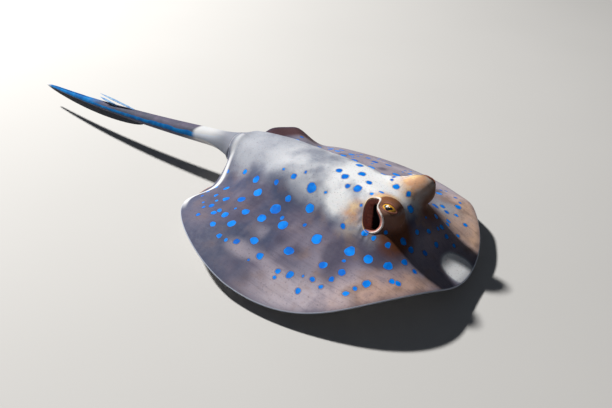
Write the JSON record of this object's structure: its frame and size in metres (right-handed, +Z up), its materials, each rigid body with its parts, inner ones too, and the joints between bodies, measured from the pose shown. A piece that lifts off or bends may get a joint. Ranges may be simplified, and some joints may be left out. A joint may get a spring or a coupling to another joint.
{
  "type": "blue-spotted ribbontail stingray, still life-size model",
  "caption": "Life-size model of a blue-spotted ribbontail ray gliding over the bottom, wings rippling and bowed down, on a flat base and short rods.",
  "frame": {"origin": "centre of the underside of the flat display base", "axes": "+X towards the snout, +Y to the ray's left, +Z up"},
  "size_m": [0.631, 0.278, 0.0841],
  "materials": {
    "hide": "satin",
    "tail_hide": "satin",
    "fold_hide": "satin",
    "spine": "satin",
    "eye": "gloss",
    "stand_black": "satin black paint",
    "stand_steel": "brushed"
  },
  "bodies": {
    "root": {"head": "hide", "trunk": "hide", "nasal_curtain": "hide", "pectoral_fin_left": "hide", "pectoral_fin_right": "hide", "pelvic_fin_left": "hide", "pelvic_fin_right": "hide", "tail_base": "tail_hide", "tail_middle": "tail_hide", "tail_tip": "tail_hide", "tail_fold": "fold_hide", "tail_sting_upper": "spine", "tail_sting_lower": "spine", "eye_left": "eye", "eye_right": "eye", "stand_base": "stand_black", "stand_rod_front": "stand_steel", "stand_rod_rear": "stand_steel"}
  },
  "joints": []
}
